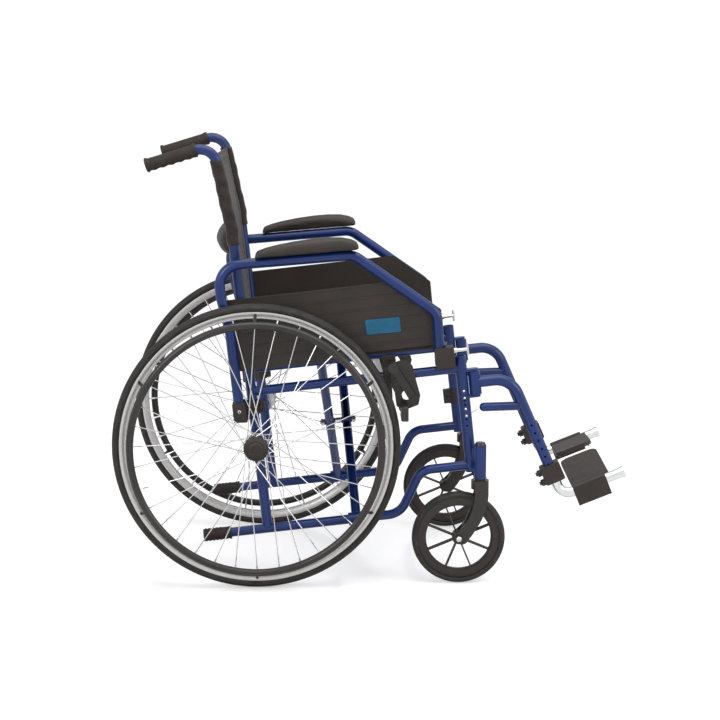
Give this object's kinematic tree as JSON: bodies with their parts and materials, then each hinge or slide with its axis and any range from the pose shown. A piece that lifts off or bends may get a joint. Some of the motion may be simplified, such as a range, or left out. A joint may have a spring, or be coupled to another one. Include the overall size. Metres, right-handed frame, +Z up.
{
  "type": "transport wheelchair",
  "caption": "Folding wheelchair with spoked rear wheels, handrims, swivel casters, flip-back arms, swing-away legrests, sling seat and push handles.",
  "frame": {"origin": "centre of the bounding box at floor level", "axes": "+X forwards, towards the footrests; +Y to the seated person's left; +Z up"},
  "size_m": [1.0978, 0.652, 0.9395],
  "materials": {
    "frame_paint": "gloss",
    "dark_plastic": "satin",
    "cloth": "woven",
    "soft_rubber": "matte",
    "tread": "matte",
    "rim_grey": "satin",
    "bright_steel": "satin",
    "chrome_tube": "polished",
    "dark_metal": "satin"
  },
  "bodies": {
    "right_frame": {"right_front_frame": "frame_paint", "right_rear_upright": "frame_paint", "right_lower_rail": "frame_paint", "right_tip_cap": "soft_rubber", "right_push_grip": "soft_rubber", "right_arm_hinge": "dark_plastic", "right_arm_socket": "dark_plastic", "right_brake_mount": "dark_metal", "right_seat_saddle": "dark_plastic", "back_sling": "cloth"},
    "brace_b": {"brace_b": "frame_paint", "brace_bolt": "bright_steel"},
    "brace_a": {"brace_a": "frame_paint"},
    "seat": {"seat_sling": "cloth"},
    "left_frame": {"left_front_frame": "frame_paint", "left_rear_upright": "frame_paint", "left_lower_rail": "frame_paint", "left_tip_cap": "soft_rubber", "left_push_grip": "soft_rubber", "left_arm_hinge": "dark_plastic", "left_arm_socket": "dark_plastic", "left_brake_mount": "dark_metal", "left_seat_saddle": "dark_plastic", "post_clip": "dark_plastic"},
    "right_wheel": {"right_tyre": "tread", "right_rim": "rim_grey", "right_spokes": "bright_steel", "right_hub": "dark_plastic", "right_handrim": "dark_metal"},
    "right_fork": {"right_caster_fork": "dark_metal"},
    "right_caster": {"right_caster_wheel": "dark_plastic", "right_caster_tyre": "tread"},
    "right_armrest": {"right_armrest_tube": "frame_paint", "right_armrest_pad": "dark_plastic", "right_side_panel": "dark_plastic"},
    "right_plunger": {"right_lock_plunger": "bright_steel"},
    "right_legrest": {"right_legrest_hanger": "frame_paint", "right_foot_tube": "chrome_tube", "right_leg_clamp": "dark_plastic"},
    "right_plate": {"right_footplate": "dark_plastic"},
    "right_lever": {"right_brake_lever": "dark_metal"},
    "right_shoe": {"right_brake_shoe": "dark_metal"},
    "left_wheel": {"left_tyre": "tread", "left_rim": "rim_grey", "left_spokes": "bright_steel", "left_hub": "dark_plastic", "left_handrim": "dark_metal"},
    "left_fork": {"left_caster_fork": "dark_metal"},
    "left_caster": {"left_caster_wheel": "dark_plastic", "left_caster_tyre": "tread"},
    "left_armrest": {"left_armrest_tube": "frame_paint", "left_armrest_pad": "dark_plastic", "left_side_panel": "dark_plastic"},
    "left_plunger": {"left_lock_plunger": "bright_steel"},
    "left_legrest": {"left_legrest_hanger": "frame_paint", "left_foot_tube": "chrome_tube", "left_leg_clamp": "dark_plastic"},
    "left_plate": {"left_footplate": "dark_plastic"},
    "left_lever": {"left_brake_lever": "dark_metal"},
    "left_shoe": {"left_brake_shoe": "dark_metal"}
  },
  "joints": [
    {"name": "fold", "type": "hinge", "parent": "right_frame", "child": "brace_b", "pos_m": [-0.03184, -0.217, 0.13374], "axis": [0.994, 0, 0.1097], "range_deg": [0, 42], "deforming": ["back_sling", "seat_sling"]},
    {"name": "brace_cross", "type": "hinge", "parent": "brace_b", "child": "brace_a", "pos_m": [-0.07001, 0, 0.30634], "axis": [0.994, 0, 0.1097], "range_deg": [-84, 0]},
    {"name": "left_fold", "type": "hinge", "parent": "brace_a", "child": "left_frame", "pos_m": [-0.06961, 0.217, 0.12957], "axis": [0.994, 0, 0.1097], "range_deg": [0, 42]},
    {"name": "seat_level", "type": "hinge", "parent": "brace_a", "child": "seat", "pos_m": [-0.0386, -0.217, 0.48663], "axis": [0.994, 0, 0.1097], "range_deg": [0, 42]},
    {"name": "right_wheel_roll", "type": "hinge", "parent": "right_frame", "child": "right_wheel", "pos_m": [-0.24391, -0.279, 0.305], "axis": [0, 1, 0], "continuous": true},
    {"name": "right_caster_turn", "type": "hinge", "parent": "right_frame", "child": "right_fork", "pos_m": [0.23159, -0.248, 0.26], "axis": [0, 0, 1], "continuous": true},
    {"name": "right_caster_roll", "type": "hinge", "parent": "right_fork", "child": "right_caster", "pos_m": [0.18609, -0.248, 0.1], "axis": [0, 1, 0], "continuous": true},
    {"name": "right_arm_flip", "type": "hinge", "parent": "right_frame", "child": "right_armrest", "pos_m": [-0.27992, -0.248, 0.37598], "axis": [0, -1, 0], "range_deg": [0, 100]},
    {"name": "right_arm_lock", "type": "slide", "parent": "right_frame", "child": "right_plunger", "axis": [0.994, 0, 0.1097], "range_m": [0, 0.008], "stiffness_N_per_m": 500, "springref_m": -0.004},
    {"name": "right_leg_swing", "type": "hinge", "parent": "right_frame", "child": "right_legrest", "pos_m": [0.2206, -0.217, 0.43073], "axis": [0.1097, 0, -0.994], "range_deg": [0, 90]},
    {"name": "right_plate_flip", "type": "hinge", "parent": "right_legrest", "child": "right_plate", "pos_m": [0.41103, -0.217, 0.18213], "axis": [0.9285, 0, 0.3714], "range_deg": [0, 95]},
    {"name": "right_brake", "type": "hinge", "parent": "right_frame", "child": "right_lever", "pos_m": [0.08745, -0.248, 0.40195], "axis": [0, 1, 0], "range_deg": [0, 50]},
    {"name": "right_brake_press", "type": "hinge", "parent": "right_frame", "child": "right_shoe", "pos_m": [0.0517, -0.248, 0.43422], "axis": [0, 1, 0], "range_deg": [0, 4.5]},
    {"name": "left_wheel_roll", "type": "hinge", "parent": "left_frame", "child": "left_wheel", "pos_m": [-0.24391, 0.279, 0.305], "axis": [0, 1, 0], "continuous": true},
    {"name": "left_caster_turn", "type": "hinge", "parent": "left_frame", "child": "left_fork", "pos_m": [0.23159, 0.248, 0.26], "axis": [0, 0, 1], "continuous": true},
    {"name": "left_caster_roll", "type": "hinge", "parent": "left_fork", "child": "left_caster", "pos_m": [0.18609, 0.248, 0.1], "axis": [0, 1, 0], "continuous": true},
    {"name": "left_arm_flip", "type": "hinge", "parent": "left_frame", "child": "left_armrest", "pos_m": [-0.27992, 0.248, 0.37598], "axis": [0, -1, 0], "range_deg": [0, 100]},
    {"name": "left_arm_lock", "type": "slide", "parent": "left_frame", "child": "left_plunger", "axis": [0.994, 0, 0.1097], "range_m": [0, 0.008], "stiffness_N_per_m": 500, "springref_m": -0.004},
    {"name": "left_leg_swing", "type": "hinge", "parent": "left_frame", "child": "left_legrest", "pos_m": [0.2206, 0.217, 0.43073], "axis": [-0.1097, 0, 0.994], "range_deg": [0, 90]},
    {"name": "left_plate_flip", "type": "hinge", "parent": "left_legrest", "child": "left_plate", "pos_m": [0.41103, 0.217, 0.18213], "axis": [-0.9285, 0, -0.3714], "range_deg": [0, 95]},
    {"name": "left_brake", "type": "hinge", "parent": "left_frame", "child": "left_lever", "pos_m": [0.08745, 0.248, 0.40195], "axis": [0, 1, 0], "range_deg": [0, 50]},
    {"name": "left_brake_press", "type": "hinge", "parent": "left_frame", "child": "left_shoe", "pos_m": [0.0517, 0.248, 0.43422], "axis": [0, 1, 0], "range_deg": [0, 4.5]}
  ],
  "couplings": [
    {"joint": "brace_cross", "follows": "fold", "ratio": -2},
    {"joint": "left_fold", "follows": "fold", "ratio": 1},
    {"joint": "seat_level", "follows": "fold", "ratio": 1},
    {"joint": "right_plate_flip", "follows": "fold", "ratio": 2.2619},
    {"joint": "right_brake_press", "follows": "right_brake", "ratio": 0.09},
    {"joint": "left_plate_flip", "follows": "fold", "ratio": 2.2619},
    {"joint": "left_brake_press", "follows": "left_brake", "ratio": 0.09}
  ]
}
